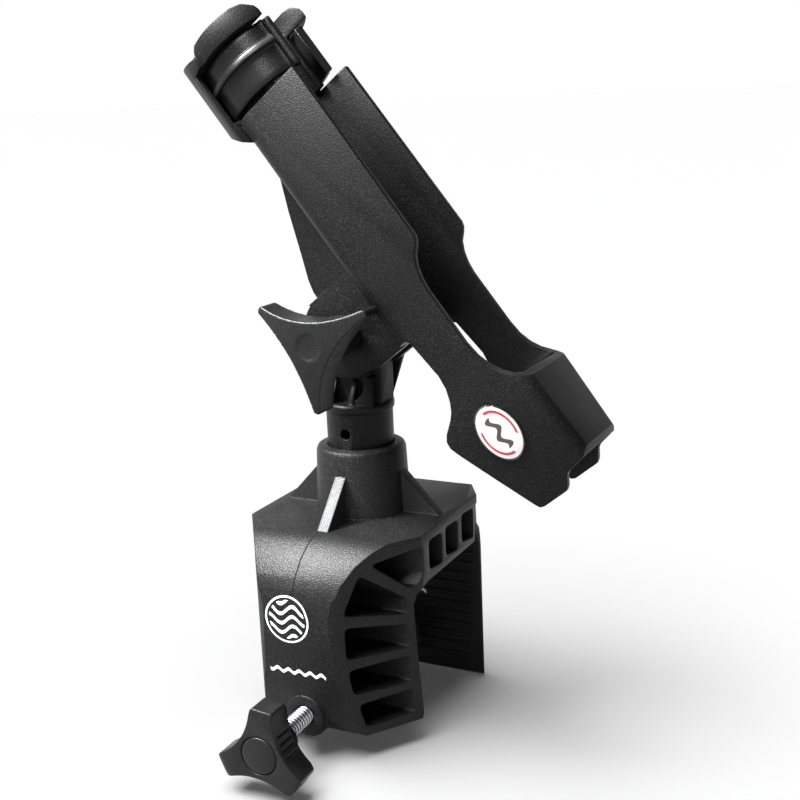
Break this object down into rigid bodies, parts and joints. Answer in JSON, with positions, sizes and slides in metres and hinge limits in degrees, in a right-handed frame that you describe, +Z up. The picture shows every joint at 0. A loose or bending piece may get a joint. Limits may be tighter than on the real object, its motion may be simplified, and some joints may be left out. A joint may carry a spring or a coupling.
{
  "type": "clamp-on fishing rod holder",
  "caption": "Black plastic rod holder: open tilting cradle with a twist lock ring on a swivel post, held to a rail by a screw clamp.",
  "frame": {"origin": "on the swivel axis, at the seat face under the clamp's top wall, which rests on the rail", "axes": "+Z up along the swivel post; -Y towards the clamp knob and the tilt knob; +X towards the low, butt end of the cradle"},
  "size_m": [0.1985, 0.1533, 0.3353],
  "materials": {
    "clamp_body": "fine-grained black moulded plastic",
    "screw_nut": "bright zinc plating",
    "clamp_screw": "bright zinc plating",
    "clamp_knob": "satin black moulded plastic",
    "clamp_knob_cap": "satin black moulded plastic",
    "knob_insert": "turned brass",
    "pad_clip": "bright zinc plating",
    "pressure_pad": "matt black rubber",
    "seat_plug": "satin black moulded plastic",
    "swivel_screw": "bright zinc plating",
    "swivel_washer": "bright zinc plating",
    "stem": "fine-grained black moulded plastic",
    "friction_disc_near": "matt black rubber",
    "friction_disc_far": "matt black rubber",
    "tilt_knob": "satin black moulded plastic",
    "tilt_bolt": "bright zinc plating",
    "tilt_washer": "fine-grained black moulded plastic",
    "tilt_nut": "bright zinc plating",
    "cradle": "fine-grained black moulded plastic",
    "badge_plate": "plain white printed plate",
    "badge_dome": "clear domed resin",
    "lock_ring": "polished black moulded plastic"
  },
  "bodies": {
    "clamp": {"clamp_body": "clamp_body", "screw_nut": "screw_nut", "seat_plug": "seat_plug"},
    "pad": {"pressure_pad": "pressure_pad", "pad_clip": "pad_clip"},
    "screw": {"clamp_screw": "clamp_screw", "clamp_knob": "clamp_knob", "clamp_knob_cap": "clamp_knob_cap", "knob_insert": "knob_insert"},
    "stem": {"stem": "stem", "swivel_screw": "swivel_screw", "swivel_washer": "swivel_washer", "friction_disc_near": "friction_disc_near", "friction_disc_far": "friction_disc_far", "tilt_nut": "tilt_nut"},
    "cradle": {"cradle": "cradle", "badge_plate": "badge_plate", "badge_dome": "badge_dome"},
    "tilt_knob": {"tilt_knob": "tilt_knob", "tilt_bolt": "tilt_bolt", "tilt_washer": "tilt_washer"},
    "lock_ring": {"lock_ring": "lock_ring"}
  },
  "joints": [
    {"name": "swivel", "type": "hinge", "parent": "clamp", "child": "stem", "pos_m": [0, 0, 0.04], "axis": [0, 0, 1], "continuous": true},
    {"name": "tilt", "type": "hinge", "parent": "stem", "child": "cradle", "pos_m": [0, 0, 0.1107], "axis": [0, 1, 0], "range_deg": [-55, 20]},
    {"name": "tilt_knob_turn", "type": "hinge", "parent": "stem", "child": "tilt_knob", "pos_m": [0, -0.035, 0.1107], "axis": [0, -1, 0], "range_deg": [0, 360]},
    {"name": "lock_ring_turn", "type": "hinge", "parent": "cradle", "child": "lock_ring", "pos_m": [-0.03898, 0, 0.22914], "axis": [-0.6143, 0, 0.7891], "range_deg": [-15, 105]},
    {"name": "pad_feed", "type": "slide", "parent": "clamp", "child": "pad", "axis": [0, 1, 0], "range_m": [-0.053, 0.007]},
    {"name": "screw_turn", "type": "hinge", "parent": "pad", "child": "screw", "pos_m": [0, -0.08, -0.0565], "axis": [0, 1, 0], "range_deg": [-9545, 1265]}
  ],
  "couplings": [
    {"joint": "screw_turn", "follows": "pad_feed", "rad_per_m": 3141.6}
  ]
}
